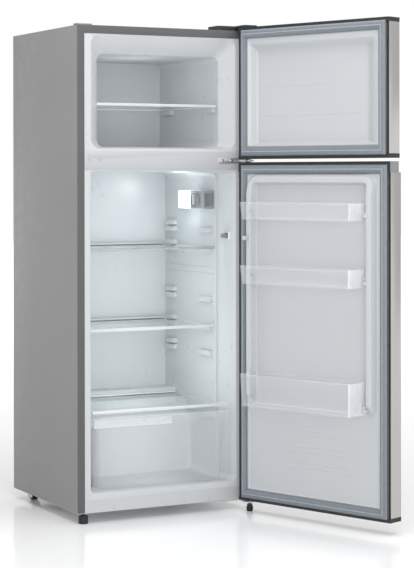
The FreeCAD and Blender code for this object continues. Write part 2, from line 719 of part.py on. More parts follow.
def crisper_drawer():
    """Clear drawer with a thick pull along its front's top edge."""
    low, high, wall = 86.5, 262.0, 2.4
    trays = []
    for skin in (0.0, wall):
        wires = []
        for z, half, rear in ((low + skin, 197, 224), (high, 206, 236)):
            wires.append(outline(-half + skin, half - skin, 24 + skin, rear - skin, 14 - skin, z, False))
        trays.append(Part.makeLoft(wires, True, True))
    front = block(-216, 216, 22, 25, low + 3, 288)
    pull = soften(block(-216, 216, 16, 25, 266, 288), 3, "x", lambda p: p.y < 17)
    scoop = block(-214, 214, 18.5, 22, 260, 284)
    facets = [block(x, x + 2, 21.2, 22, low + 12, 258) for x in range(-180, 181, 45)]
    return fuse([trays[0], front, pull.cut(scoop)] + facets).cut(trays[1])


# ---------------------------------------------------------------- controls
def control_housing():
    """Box on the right wall for the thermostat, with a slotted front end."""
    x0, x1, y0, _, z0, z1 = CONTROL
    box = soften(block(x0, x1, y0, LAMP_FROM, z0, z1), 4, "y", lambda p: p.x < x0 + 1)
    box = box.cut(block(x0 + 2, x1, y0 + 2, LAMP_FROM, z0 + 2, z1 - 2))
    for index in range(7):
        x = x0 + 6 + index * 4
        box = box.cut(block(x, x + 2, y0, y0 + 2, z0 + 7, z1 - 7))
    return box.cut(rod(V(x0, DIAL.y, DIAL.z), V(1, 0, 0), 3.1, 2))


def lamp_lens():
    """Frosted lens over the lamp."""
    x0, x1, _, y1, z0, z1 = CONTROL
    lens = soften(block(x0, x1, LAMP_FROM, y1, z0, z1), 4, "y", lambda p: p.x < x0 + 1)
    return lens.cut(block(x0 + 2, x1, LAMP_FROM, y1 - 2, z0 + 2, z1 - 2))


def lamp_module():
    """Circuit board with its light emitters."""
    board = block(206, 207.6, 200, 262, 884, 922)
    lights = [block(204.8, 206, y, y + 4, z, z + 4) for y in (210, 229, 248) for z in (893, 909)]
    return fuse([board] + lights)


def thermostat_body():
    """Thermostat switch inside the control box."""
    return soften(block(190, 214, 128, 172, 884, 922), 3, "x")


def thermostat_dial():
    """Round knob with a grip rib, on its shaft."""
    knob = rod(DIAL, V(1, 0, 0), DIAL_R, 9.4)
    knob = knob.makeChamfer(1.5, [e for e in knob.Edges if e.CenterOfMass.x < DIAL.x + 1 and e.Length > 50])
    rib = block(DIAL.x - 4, DIAL.x, DIAL.y - 3, DIAL.y + 3, DIAL.z - 17, DIAL.z + 17)
    return fuse([knob, rib, rod(DIAL, V(1, 0, 0), 3, 19)])


def door_switch_housing():
    """Lamp switch set into the right wall."""
    return block(*SWITCH).cut(block(224, 237, 36, 60, 790, 806))


def door_switch_lever():
    """Small rocker that a closing door would press."""
    rocker = soften(block(211, LEVER_PIVOT[0], 42, 57.5, 792, 804), 2, "z", lambda p: p.x < 212)
    return fuse([rocker, upright(*LEVER_PIVOT, 792, 804, 2.6)])


# ---------------------------------------------------------------- assembly
def swung(shape, angle):
    """A door piece turned from closed to its rest angle."""
    turned = shape.copy()
    turned.rotate(PIN, V(0, 0, 1), angle)
    return turned


def cabinet_nodes():
    """Pieces that stay with the cabinet."""
    evaporators = evaporator_plates()
    drain = drain_bore(7)
    return {
        "cabinet_shell": cabinet_shell(), "back_panel": back_panel(), "bay_panel": bay_panel().cut(drain),
        "base_frame": base_frame(), "cabinet_foam": cabinet_foam([evaporators, drain, block(*SWITCH)]),
        "fridge_liner": fridge_liner(), "freezer_liner": freezer_liner(),
        "mullion_cover": mullion_cover(), "mullion_screw_caps": mullion_screw_caps(),
        "bottom_trim": bottom_trim(), "hinge_plug_cover": hinge_plug_cover(),
        "evaporator_plates": evaporators, "condenser_tube": condenser_tube(),
        "compressor": compressor(), "compressor_grommets": compressor_grommets(),
        "terminal_cover": terminal_cover(), "refrigerant_tubes": refrigerant_tubes(),
        "drip_tray": drip_tray(), "drain_tube": drain_tube(), "cord_gland": cord_gland(),
        "wall_spacers": wall_spacers(), "top_hinge_bracket": top_hinge_bracket(),
        "top_hinge_cover": top_hinge_cover(), "middle_hinge_bracket": middle_hinge_bracket(),
        "bottom_hinge_bracket": bottom_hinge_bracket(), "hinge_screws": hinge_screws(),
        "control_housing": control_housing(), "lamp_lens": lamp_lens(), "lamp_module": lamp_module(),
        "thermostat_body": thermostat_body(), "door_switch_housing": door_switch_housing(),
    }


def loose_nodes():
    """Pieces that move on the cabinet."""
    return {
        "rear_roller_left": rear_roller(-1), "rear_roller_right": rear_roller(1),
        "levelling_foot_left": levelling_foot_left(), "levelling_foot_right": levelling_foot_right(),
        "thermostat_dial": thermostat_dial(), "door_switch_lever": door_switch_lever(),
        "freezer_shelf_glass": freezer_shelf_glass(), "freezer_shelf_trim": freezer_shelf_trim(),
        "upper_shelf_glass": shelf_glass(UPPER_SHELF), "upper_shelf_trims": shelf_trims(UPPER_SHELF),
        "lower_shelf_glass": shelf_glass(LOWER_SHELF), "lower_shelf_trims": shelf_trims(LOWER_SHELF),
        "crisper_cover_glass": crisper_cover_glass(), "crisper_cover_trims": crisper_cover_trims(),
        "crisper_drawer": crisper_drawer(),
    }


def freezer_door_nodes():
    """Pieces of the freezer door, drawn closed."""
    low, high = FREEZER_DOOR
    return {
        "freezer_door_skin": door_skin(low + CAP, high - CAP),
        "freezer_door_liner": freezer_door_liner(), "freezer_door_foam": freezer_door_foam(),
        "freezer_door_gasket": gasket(low, high),
        "freezer_door_caps": group([bushed(door_cap(high - CAP, high), high - PIN_BITE - 1, high),
                                    bushed(door_cap(low, low + CAP), low, low + PIN_BITE + 1)]),
    }


def fridge_door_nodes():
    """Pieces of the fridge door and its bins, drawn closed."""
    low, high = FRIDGE_DOOR
    nodes = {
        "fridge_door_skin": door_skin(low + CAP, high - GRIP_CAP),
        "fridge_door_liner": fridge_door_liner(), "fridge_door_foam": fridge_door_foam(),
        "fridge_door_gasket": gasket(low, high), "fridge_door_grip_cap": fridge_door_grip_cap(),
        "fridge_door_bottom_cap": bushed(door_cap(low, low + CAP), low, low + PIN_BITE + 1),
    }
    for place, (bottom, top) in BINS.items():
        nodes["door_bin_" + place] = door_bin(bottom, top)
    return nodes


def main():
    """Write one STEP file for each node."""
    os.makedirs("parts", exist_ok=True)
    nodes = {**cabinet_nodes(), **loose_nodes()}
    nodes.update({name: swung(shape, FREEZER_OPEN) for name, shape in freezer_door_nodes().items()})
    nodes.update({name: swung(shape, FRIDGE_OPEN) for name, shape in fridge_door_nodes().items()})
    for name, shape in nodes.items():
        shape.translate(-FOOTPRINT)
        if not shape.isValid() or shape.Volume <= 0:
            print("check", name)
        shape.exportStep("parts/" + name + ".step")
    boxes = [shape.BoundBox for shape in nodes.values()]
    print(len(nodes), "nodes, solids:", {n: len(s.Solids) for n, s in nodes.items() if len(s.Solids) != 1})
    print("x", min(b.XMin for b in boxes), max(b.XMax for b in boxes))
    print("y", min(b.YMin for b in boxes), max(b.YMax for b in boxes))
    print("z", min(b.ZMin for b in boxes), max(b.ZMax for b in boxes))


main()
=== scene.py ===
import json
import math

import bmesh
import bpy
from mathutils import Matrix, Vector


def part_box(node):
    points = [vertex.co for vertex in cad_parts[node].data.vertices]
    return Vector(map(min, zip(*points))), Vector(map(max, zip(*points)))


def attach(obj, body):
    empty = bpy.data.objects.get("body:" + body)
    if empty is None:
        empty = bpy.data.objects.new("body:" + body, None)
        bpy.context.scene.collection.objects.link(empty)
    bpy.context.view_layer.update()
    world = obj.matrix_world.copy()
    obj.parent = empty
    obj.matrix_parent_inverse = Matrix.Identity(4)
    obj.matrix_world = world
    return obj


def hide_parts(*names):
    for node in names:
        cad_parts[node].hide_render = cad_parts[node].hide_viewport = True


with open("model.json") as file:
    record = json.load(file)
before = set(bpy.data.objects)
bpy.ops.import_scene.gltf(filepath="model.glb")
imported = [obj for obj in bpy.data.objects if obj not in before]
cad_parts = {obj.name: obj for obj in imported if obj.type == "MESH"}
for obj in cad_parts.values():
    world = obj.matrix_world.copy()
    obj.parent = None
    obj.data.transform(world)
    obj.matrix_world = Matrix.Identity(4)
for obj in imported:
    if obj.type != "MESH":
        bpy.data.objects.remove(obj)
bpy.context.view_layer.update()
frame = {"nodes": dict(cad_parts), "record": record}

# ---- places read from the frame: the cabinet's front plane, and the doors' hinge axes
CABINET_LOW, CABINET_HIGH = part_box("cabinet_shell")
MIDDLE_X = (CABINET_LOW.x + CABINET_HIGH.x) / 2
FRONT_Y = CABINET_LOW.y
MM = 0.001
JOINTS = {joint["name"]: joint for joint in frame["record"]["behaviour"]["joints"]}
BODIES = frame["record"]["behaviour"]["bodies"]
SLOT_OF = {part["node"]: part["material_slot"] for part in frame["record"]["subparts"]}
DOOR_HINGES = {"freezer_door": "freezer_door_hinge", "fridge_door": "fridge_door_hinge"}


def cab(x, y, z):
    """Row-frame point from cabinet millimetres: x from the middle, y into the cabinet, z up."""
    return Vector((MIDDLE_X + x * MM, FRONT_Y + y * MM, z * MM))


def rest_turn(door):
    """Turns a point given with the door closed to where the door stands at rest."""
    joint = JOINTS[DOOR_HINGES[door]]
    pivot = Vector(joint["pos_m"])
    angle = math.radians(-joint["range_deg"][0])
    return Matrix.Translation(pivot) @ Matrix.Rotation(angle, 4, "Z") @ Matrix.Translation(-pivot)


def body_of(node):
    """Name of the CAD body that a node belongs to."""
    return next(body for body, members in BODIES.items() if node in members)


def door_of(body):
    """The door that a body swings with, or None."""
    if body in DOOR_HINGES:
        return body
    return "fridge_door" if body.startswith("bin_") else None


def placing(body):
    """Matrix from cabinet metres, doors closed, to the row frame at rest."""
    door = door_of(body)
    return rest_turn(door) if door else Matrix.Identity(4)


def closed_box(node):
    """Lowest and highest corner of a node in cabinet millimetres, its door closed."""
    back = placing(body_of(node)).inverted()
    points = [(back @ v.co - cab(0, 0, 0)) / MM for v in frame["nodes"][node].data.vertices]
    return [Vector(pick(p[i] for p in points) for i in range(3)) for pick in (min, max)]


# ---------------------------------------------------------------- materials
NOISE_MIDDLE = (0.3, 0.7)


class Surface:
    """A Principled material built up from a few procedural layers."""

    def __init__(self, name, colour, roughness, metallic=0.0, **sockets):
        self.material = bpy.data.materials.new(name)
        self.material.use_nodes = True
        self.tree = self.material.node_tree
        self.shader = self.tree.nodes["Principled BSDF"]
        self.colour, self.roughness = colour, roughness
        self.shader.inputs["Base Color"].default_value = (*colour, 1)
        self.shader.inputs["Roughness"].default_value = roughness
        self.shader.inputs["Metallic"].default_value = metallic
        for socket, value in sockets.items():
            self.shader.inputs[socket.replace("_", " ")].default_value = value
        self.normal = None

    def link(self, source, target):
        self.tree.links.new(source, target)

    def noise(self, scale, detail, stretch):
        """Noise in object space; stretch lengthens the pattern along an axis."""
        where = self.tree.nodes.new("ShaderNodeTexCoord")
        mapping = self.tree.nodes.new("ShaderNodeMapping")
        mapping.inputs["Scale"].default_value = [scale / s for s in stretch]
        noise = self.tree.nodes.new("ShaderNodeTexNoise")
        noise.inputs["Scale"].default_value = 1.0
        noise.inputs["Detail"].default_value = detail
        self.link(where.outputs["Object"], mapping.inputs["Vector"])
        self.link(mapping.outputs["Vector"], noise.inputs["Vector"])
        return noise.outputs["Fac"]

    def mapped(self, source, ends, values):
        """Maps one range of a value onto another."""
        ramp = self.tree.nodes.new("ShaderNodeMapRange")
        for socket, value in zip(("From Min", "From Max", "To Min", "To Max"), (*ends, *values)):
            ramp.inputs[socket].default_value = value
        self.link(source, ramp.inputs["Value"])
        return ramp.outputs["Result"]

    def spread(self, source, low, high):
        """Maps the middle of a noise to a range of values."""
        return self.mapped(source, NOISE_MIDDLE, (low, high))

    def vary_roughness(self, scale, amount, stretch=(1, 1, 1)):
        noise = self.noise(scale, 4.0, stretch)
        value = self.spread(noise, self.roughness - amount, self.roughness + amount)
        self.link(value, self.shader.inputs["Roughness"])
        return self

    def vary_colour(self, scale, amount, stretch=(1, 1, 1)):
        mix = self.tree.nodes.new("ShaderNodeMix")
        mix.data_type = "RGBA"
        dark, light = mix.inputs[6], mix.inputs[7]
        dark.default_value = (*[c * (1 - amount) for c in self.colour], 1)
        light.default_value = (*[min(1, c * (1 + amount)) for c in self.colour], 1)
        self.link(self.spread(self.noise(scale, 3.0, stretch), 0, 1), mix.inputs["Factor"])
        self.link(mix.outputs[2], self.shader.inputs["Base Color"])
        return self

    def brighten_far(self, distances, strengths):
        """Emission that grows with distance from the object's own centre, as a lit sweep does."""
        where = self.tree.nodes.new("ShaderNodeTexCoord")
        away = self.tree.nodes.new("ShaderNodeVectorMath")
        away.operation = "LENGTH"
        self.link(where.outputs["Object"], away.inputs[0])
        strength = self.mapped(away.outputs["Value"], distances, strengths)
        self.link(strength, self.shader.inputs["Emission Strength"])

    def bump(self, scale, height, stretch=(1, 1, 1)):
        bump = self.tree.nodes.new("ShaderNodeBump")
        bump.inputs["Distance"].default_value = height
        self.link(self.noise(scale, 3.0, stretch), bump.inputs["Height"])
        if self.normal:
            self.link(self.normal, bump.inputs["Normal"])
        self.normal = bump.outputs["Normal"]
        self.link(self.normal, self.shader.inputs["Normal"])
        return self


def grey(level):
    return (level, level, level)


def painted(name, colour, roughness=0.38):
    """Powder-coated sheet: faint orange peel and patchy sheen."""
    surface = Surface(name, colour, roughness, Specular_IOR_Level=0.4)
    surface.vary_colour(3, 0.03).vary_roughness(30, 0.05).bump(900, 0.00001).bump(60, 0.00003)
    return surface.material


def moulded(name, colour, roughness=0.3, texture=0.000004, **sockets):
    """Moulded or vacuum-formed plastic: satin skin, slight waviness."""
    surface = Surface(name, colour, roughness, Specular_IOR_Level=0.45, **sockets)
    surface.vary_colour(5, 0.01).vary_roughness(25, 0.03).bump(1500, texture).bump(12, 0.00004)
    return surface.material


def brushed(name, colour, roughness, stretch):
    """Brushed steel: long fine scratches along one axis."""
    surface = Surface(name, colour, roughness, metallic=1.0)
    surface.vary_roughness(2500, 0.07, stretch).vary_colour(1800, 0.05, stretch)
    return surface.bump(3000, 0.000006, stretch).material


def rubbery(name, colour, roughness=0.6):
    """Soft seal or rubber, dull with dusty patches."""
    surface = Surface(name, colour, roughness, Specular_IOR_Level=0.3)
    return surface.vary_colour(90, 0.05).vary_roughness(150, 0.06).bump(2500, 0.00001).material


def clear(name, colour, alpha, roughness=0.1):
    """Clear plastic or glass, seen as a thin film with gloss."""
    surface = Surface(name, colour, roughness, Alpha=alpha, Specular_IOR_Level=0.8, Coat_Weight=0.4,
                      Coat_Roughness=0.05)
    return surface.vary_roughness(35, roughness * 0.4).bump(14, 0.00008).material


ALONG_Z = (1, 1, 300)
MATERIALS = {
    "side_steel": painted("side_paint", grey(0.226), 0.38),
    "back_steel": painted("back_paint", grey(0.25), 0.5),
    # Darker copy of the side paint for the shell's front flange: painted shade.
    "flange_steel": painted("flange_painted_shade", (0.093, 0.094, 0.096), 0.4),
    "zinc_steel": brushed("zinc_plate", (0.62, 0.63, 0.65), 0.38, (1, 24, 1)),
    "door_steel": brushed("door_stainless", (0.50, 0.495, 0.485), 0.34, ALONG_Z),
    "liner_white": moulded("liner_plastic", (0.50, 0.518, 0.535), 0.3),
    "door_liner_white": moulded("door_liner_plastic", (0.460, 0.474, 0.492), 0.35),
    "trim_white": moulded("white_trim", (0.70, 0.72, 0.74), 0.25),
    "trim_grey": moulded("grey_trim", (0.22, 0.22, 0.222), 0.42),
    "cap_dark": moulded("dark_cap", (0.020, 0.021, 0.023), 0.5, 0.00001),
    "gasket_grey": rubbery("seal_rubber", (0.182, 0.202, 0.228), 0.5),
    "foam": moulded("foam_yellow", (0.80, 0.70, 0.42), 0.8, 0.0003),
    "shelf_glass": clear("toughened_glass", (0.72, 0.80, 0.80), 0.22, 0.06),
    "clear_plastic": clear("clear_styrene", (0.76, 0.78, 0.81), 0.12),
    "lens_white": moulded("lamp_lens", (0.90, 0.93, 0.96), 0.35, Emission_Color=(0.90, 0.95, 1.0, 1),
                          Emission_Strength=0.9),
    "board_green": moulded("circuit_board", (0.03, 0.16, 0.07), 0.4),
    "copper": brushed("copper_tube", (0.78, 0.36, 0.20), 0.28, (1, 1, 12)),
    "condenser_steel": painted("black_tube", grey(0.02), 0.4),
    "evaporator_aluminium": brushed("evaporator_aluminium", (0.75, 0.76, 0.78), 0.35, (12, 1, 1)),
    "compressor_black": painted("compressor_paint", (0.012, 0.012, 0.013), 0.22),
    "rubber_black": rubbery("black_rubber", (0.018, 0.018, 0.018), 0.7),
    "plastic_black": moulded("black_plastic", (0.010, 0.0105, 0.012), 0.45, 0.00001),
    "screw_steel": brushed("screw_zinc", (0.58, 0.58, 0.60), 0.25, (1, 1, 4)),
}
EDGE_CLEAR = clear("clear_edges", (0.84, 0.87, 0.90), 0.6)
DRAWER_CLEAR = clear("drawer_styrene", (0.84, 0.87, 0.91), 0.16)
SHELF_FRONT = clear("upper_shelf_front", (0.56, 0.62, 0.63), 0.3)
FROSTED = clear("frosted_ends", (0.84, 0.86, 0.89), 0.5, 0.3)
BIN_EDGE = clear("bin_edges", (0.86, 0.88, 0.91), 0.4)
SHELF_LINE = clear("shelf_edge_line", (0.20, 0.25, 0.26), 0.7)
MULLION = moulded("mullion_plastic", (0.415, 0.424, 0.436), 0.32)
FREEZER_EDGE = clear("freezer_shelf_edge", (0.66, 0.69, 0.72), 0.8)
# Lighter rubber on the seal's rib: painted highlight.
SEAL_RIB_HIGHLIGHT = rubbery("seal_rib_painted_highlight", (0.36, 0.39, 0.42), 0.5)
# Near-black rubber on the seal's outer foot and hinge-side strip: painted shade.
SEAL_FOOT_SHADE = rubbery("seal_foot_painted_shade", (0.02, 0.021, 0.024), 0.6)
SCALE_INK = moulded("scale_print", (0.10, 0.105, 0.115), 0.5)
KNOB_GREY = moulded("knob_plastic", (0.30, 0.315, 0.335), 0.4)
# Near-black used as painted shade: the air grille's slots and the mullion cover's seams.
PAINTED_SHADE_DARK = moulded("shade_dark_plastic", (0.10, 0.105, 0.115), 0.5)

for name, cad_object in frame["nodes"].items():
    cad_object.data.materials.clear()
    cad_object.data.materials.append(MATERIALS[SLOT_OF[name]])


# ---------------------------------------------------------------- pieces from CAD nodes
WELD_DISTANCE = 1e-6
FLAT_ANGLE = math.radians(1)
EDGE_ANGLE = math.radians(32)


def settle(piece, body, slot, replaced=()):
    """Links a finished piece to the scene and its body, and hides the nodes it stands for; the slot given is
    not used.
    """
    if piece.name not in bpy.context.scene.collection.objects:
        bpy.context.scene.collection.objects.link(piece)
    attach(piece, body)
    if replaced:
        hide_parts(*replaced)
    return piece


def welded_copy(node):
    """Mesh of a CAD node with its triangles joined into whole faces."""
    mesh = frame["nodes"][node].data.copy()
    work = bmesh.new()
    work.from_mesh(mesh)
    bmesh.ops.remove_doubles(work, verts=work.verts, dist=WELD_DISTANCE)
    bmesh.ops.dissolve_limit(work, angle_limit=FLAT_ANGLE, verts=work.verts, edges=work.edges)
    work.to_mesh(mesh)
    work.free()
    return mesh


def eased(node, width, paints=(), edge=None):
    """A copy of a CAD node with rounded edges; paints are (material, test) pairs for its faces.

    A test gets a face's normal and centre in cabinet millimetres with the doors closed. The
    rounded edges take the material edge, where one is given."""
    body, slot = body_of(node), SLOT_OF[node]
    mesh = welded_copy(node)
    mesh.materials.clear()
    for material in (MATERIALS[slot], *(material for material, _ in paints)):
        mesh.materials.append(material)
    back = placing(body).inverted()
    for face in mesh.polygons:
        normal = back.to_3x3() @ face.normal
        centre = (back @ face.center - cab(0, 0, 0)) / MM
        face.material_index = next((k + 1 for k, (_, test) in enumerate(paints) if test(normal, centre)), 0)
    mesh.shade_smooth()
    piece = bpy.data.objects.new(node + "_finished", mesh)
    bevel = piece.modifiers.new("edges", "BEVEL")
    bevel.width, bevel.segments, bevel.limit_method = width * MM, 2, "ANGLE"
    bevel.angle_limit, bevel.harden_normals = EDGE_ANGLE, True
    if edge:
        mesh.materials.append(edge)
        bevel.material = len(mesh.materials) - 1
    return settle(piece, body, slot, [node])


def shrunk(node, by):
    """A copy of a hidden solid drawn in, so that it stays behind the pieces over it."""
    piece = bpy.data.objects.new(node + "_core", welded_copy(node))
    piece.data.shade_flat()
    inset = piece.modifiers.new("inset", "DISPLACE")
    inset.strength, inset.mid_level = -by * MM, 0.0
    return settle(piece, body_of(node), SLOT_OF[node], [node])


# ---------------------------------------------------------------- pieces made here
FOAM_INSET, FOAM_BEHIND = 2, 3.0
SMOOTH_CORNER, CRISP_CORNER = math.radians(50), math.radians(38)


def made(name, points, faces, body, slot, replaced=(), material=None, smooth=True):
    """Mesh piece from points in cabinet millimetres with the doors closed."""
    turn = placing(body)
    mesh = bpy.data.meshes.new(name)
    mesh.from_pydata([turn @ cab(*p) for p in points], [], faces)
    mesh.materials.append(material or MATERIALS[slot])
    if smooth:
        mesh.shade_smooth()
    return settle(bpy.data.objects.new(name, mesh), body, slot, replaced)


def step(low, high, value):
    """Smooth 0 to 1 between two values."""
    t = min(1.0, max(0.0, (value - low) / (high - low)))
    return t * t * (3 - 2 * t)


def stations(*spans):
    """Grid lines from (start, end, pitch) spans that follow each other."""
    lines = [spans[0][0]]
    for start, end, pitch in spans:
        count = max(1, round((end - start) / pitch))
        lines += [start + (end - start) * k / count for k in range(1, count + 1)]
    return lines


def grid_faces(across, rows):
    """Quads of a grid of points given row by row."""
    firsts = [row * across + column for row in range(rows - 1) for column in range(across - 1)]
    return [(first, first + across, first + across + 1, first + 1) for first in firsts]


def grid_rim(across, rows):
    """Border points of such a grid, in order round it."""
    count = across * rows
    bottom, right = range(across), range(2 * across - 1, count, across)
    top, left = range(count - 2, count - across - 1, -1), range(count - 2 * across, 0, -across)
    return [*bottom, *right, *top, *left]


def formed_sheet(name, node, xs, zs, depth, wall):
    """Vacuum-formed panel: a grid whose y follows depth(x, z), given a wall thickness."""
    points = [(x, depth(x, z), z) for z in zs for x in xs]
    faces = grid_faces(len(xs), len(zs))
    piece = made(name, points, faces, body_of(node), SLOT_OF[node], [node])
    thick = piece.modifiers.new("wall", "SOLIDIFY")
    thick.thickness, thick.offset = wall * MM, -1


def foam_fill(node, xs, zs, depth):
    """Foam cast behind a formed panel: its front follows the panel, its back is flat."""
    low, high = closed_box(node)
    inset = Vector([FOAM_INSET] * 3)
    low, high = low + inset, high - inset
    xs = [low.x] + [x for x in xs if low.x < x < high.x] + [high.x]
    zs = [low.z] + [z for z in zs if low.z < z < high.z] + [high.z]
    count = len(xs) * len(zs)
    front = [(x, depth(x, z) - FOAM_BEHIND, z) for z in zs for x in xs]
    back = [(x, low.y, z) for z in zs for x in xs]
    faces = []
    for quad in grid_faces(len(xs), len(zs)):
        faces += [quad, tuple(count + k for k in reversed(quad))]
    rim = grid_rim(len(xs), len(zs))
    faces += [(a, b, count + b, count + a) for a, b in zip(rim, rim[1:] + rim[:1])]
    made(node + "_cast", front + back, faces, body_of(node), SLOT_OF[node], [node], smooth=False)


def rounded(points, cuts):
    """Catmull-Rom line through points."""
    ends = [points[0]] + list(points) + [points[-1]]
    line = []
    for a, b, c, d in zip(ends, ends[1:], ends[2:], ends[3:]):
        for k in range(cuts):
            t = k / cuts
            line.append(tuple(0.5 * (2 * q + (r - p) * t + (2 * p - 5 * q + 4 * r - s) * t * t
                                     + (3 * q - p - 3 * r + s) * t ** 3)
                              for p, q, r, s in zip(a, b, c, d)))
    return line + [points[-1]]


def mitred_frame(name, profile, low, high, body, slot, replaced, strip):
    """Profile of (inset, y) points swept round an upright rectangle with mitred corners.

    On the hinge side a flat strip comes before the profile, which is squeezed to fit."""
    width = max(inset for inset, _ in profile)
    corners = ((1, 1), (-1, 1), (-1, -1), (1, -1))
    points = []
    for side_x, side_z in corners:
        for inset, y in profile:
            squeezed = strip + inset * (width - strip) / width if inset > FOOT_EDGE else inset
            x = high.x - squeezed if side_x > 0 else low.x + inset
            z = high.z - inset if side_z > 0 else low.z + inset
            points.append((x, y, z))
    count = len(profile)
    faces = []
    for corner in range(4):
        for k in range(count):
            here, there = corner * count, (corner + 1) % 4 * count
            after = (k + 1) % count
            faces.append((here + k, here + after, there + after, there + k))
    piece = made(name, points, faces, body, slot, replaced)
    piece.modifiers.new("mitres", "EDGE_SPLIT").split_angle = SMOOTH_CORNER
    return piece


def turned(name, centre, profile, sides, body, slot, replaced, plain, painted_rings):
    """Round piece about an axis along X; profile is (x offset, radius) from face to back.

    It is made of the plain material, apart from the rings named with a material of their own."""
    points, faces = [], []
    for offset, radius in profile:
        for k in range(sides):
            angle = 2 * math.pi * k / sides
            points.append((centre[0] + offset, centre[1] + radius * math.cos(angle),
                           centre[2] + radius * math.sin(angle)))
    for ring in range(len(profile) - 1):
        for k in range(sides):
            after = (k + 1) % sides
            faces.append((ring * sides + k, (ring + 1) * sides + k, (ring + 1) * sides + after,
                          ring * sides + after))
    faces.append(tuple(range(sides)))
    faces.append(tuple(reversed(range((len(profile) - 1) * sides, len(profile) * sides))))
    piece = made(name, points, faces, body, slot, replaced, plain)
    material, rings = painted_rings
    piece.data.materials.append(material)
    for face in piece.data.polygons[:-2]:
        face.material_index = int(face.index // sides in rings)
    piece.modifiers.new("edges", "EDGE_SPLIT").split_angle = CRISP_CORNER


def eased_block(name, low, high, width, body, slot, material=None):
    """Small moulded block with rounded edges."""
    corners = [(x, y, z) for z in (low[2], high[2]) for y in (low[1], high[1]) for x in (low[0], high[0])]
    faces = [(0, 2, 3, 1), (4, 5, 7, 6), (0, 1, 5, 4), (2, 6, 7, 3), (0, 4, 6, 2), (1, 3, 7, 5)]
    piece = made(name, corners, faces, body, slot, material=material)
    bevel = piece.modifiers.new("edges", "BEVEL")
    bevel.width, bevel.segments, bevel.harden_normals = width * MM, 3, True


# ---------------------------------------------------------------- cabinet
EDGE_WIDTHS = {
    "hinge_plug_cover": 0.8, "top_hinge_cover": 1.2, "freezer_liner": 1.5, "lamp_lens": 0.8,
    "door_switch_housing": 0.5, "base_frame": 0.3, "middle_hinge_bracket": 0.4,
    "bottom_hinge_bracket": 0.4, "drip_tray": 0.5, "terminal_cover": 0.6, "wall_spacers": 0.8,
    "bay_panel": 0.4, "compressor": 0.8, "fridge_liner": 0.9,
}
FLANGE_BACK_Y = 1.5
HOUSING_FRONT_Y = 200
SHELF_FRONT_Y = 130
DRAWER_RIM, GRIP_RIGHT = 35, 248


def everywhere(normal, place):
    """Face test that takes a whole piece."""
    return True


def cabinet():
    """Painted shell, liners and trims with eased edges; the shell's front faces and the mullion cover's top
    and bottom darker with painted shade; the foam behind them.
    """
    # The shell's front-facing faces take the darker flange colour as painted shade.
    flange = (MATERIALS["flange_steel"], lambda n, p: n.y < -0.7 or p.y < FLANGE_BACK_Y)
    housing_front = (KNOB_GREY, lambda n, p: min(n.x, n.y) < -0.7 and p.y < HOUSING_FRONT_Y)
    # The mullion cover's top and bottom faces are painted near-black: painted shade along its seams.
    mullion_shade_lines = (PAINTED_SHADE_DARK, lambda n, p: abs(n.z) > 0.7)
    eased("cabinet_shell", 0.8, [flange])
    for node, width in EDGE_WIDTHS.items():
        eased(node, width)
    eased("mullion_cover", 0.6, [mullion_shade_lines, (MULLION, everywhere)])
    eased("control_housing", 0.6, [housing_front], edge=KNOB_GREY)
    eased("bottom_trim", 0.6)
    eased("mullion_screw_caps", 0.3, [(MULLION, everywhere)])
    shrunk("cabinet_foam", 0.8)


def shelves():
    """Glass plates with clear front trims, and the crisper's cover."""
    for node in ("freezer_shelf_glass", "upper_shelf_glass", "lower_shelf_glass", "crisper_cover_glass"):
        eased(node, 0.6, [(EDGE_CLEAR, lambda n, p: abs(n.z) < 0.5)])
    eased("freezer_shelf_trim", 0.8, [(FREEZER_EDGE, everywhere)])
    upper_front = (SHELF_FRONT, lambda n, p: p.y < SHELF_FRONT_Y)
    clear_front = (EDGE_CLEAR, lambda n, p: p.y < SHELF_FRONT_Y)
    rear = (MATERIALS["liner_white"], everywhere)
    eased("upper_shelf_trims", 0.8, [upper_front, rear], edge=SHELF_LINE)
    eased("lower_shelf_trims", 0.8, [clear_front, rear])
    eased("crisper_cover_trims", 0.8, [clear_front])


def drawer():
    """Clear crisper drawer with a brighter hand grip."""
    low, high = closed_box("crisper_drawer")
    rim = (EDGE_CLEAR, lambda n, p: n.z > 0.7 and p.z > high.z - DRAWER_RIM)
    eased("crisper_drawer", 0.6, [rim, (DRAWER_CLEAR, everywhere)], edge=EDGE_CLEAR)
    grip_low = (low.x + 3, low.y + 2.4, high.z - 26)
    grip_high = (low.x + GRIP_RIGHT, low.y + 4.4, high.z - 4)
    eased_block("drawer_grip_insert", grip_low, grip_high, 0.8, "drawer", "clear_plastic", FROSTED)


# ---------------------------------------------------------------- lamp box
DIAL_RINGS = [(4.4, 9.6), (4.8, 10.4), (4.8, 11.4), (4.4, 12.2), (4.4, 15.6), (5.0, 16.2), (5.0, 17.2)]
DIAL_SIDE = [(4.4, 17.8), (4.0, 18.6), (4.0, 19.4), (4.6, 20.0), (12.6, 20.0), (13.4, 19.2),
             (13.4, 3.0), (23, 3.0)]
DARK_RINGS = {0, 1, 2, 6, 7, 8, 9}
SCALE_DOTS, SCALE_START, SCALE_PITCH, SCALE_RADIUS = 9, -45, 33.75, 23.2
SLATS, SLAT_WALL = 8, 0.6


def dial():
    """Round knob with dark rings and a raised grip across it."""
    low, high = closed_box("thermostat_dial")
    x, y, z = low.x, (low.y + high.y) / 2, (low.z + high.z) / 2
    turned("thermostat_dial_knob", (x, y, z), DIAL_RINGS + DIAL_SIDE, 64, "dial", "trim_white",
           ["thermostat_dial"], KNOB_GREY, (SCALE_INK, DARK_RINGS))
    eased_block("dial_grip", (x, y - 3, z - 16), (x + 5, y + 3, z + 16), 1.6, "dial", "trim_white",
                MATERIALS["liner_white"])
    return y, z


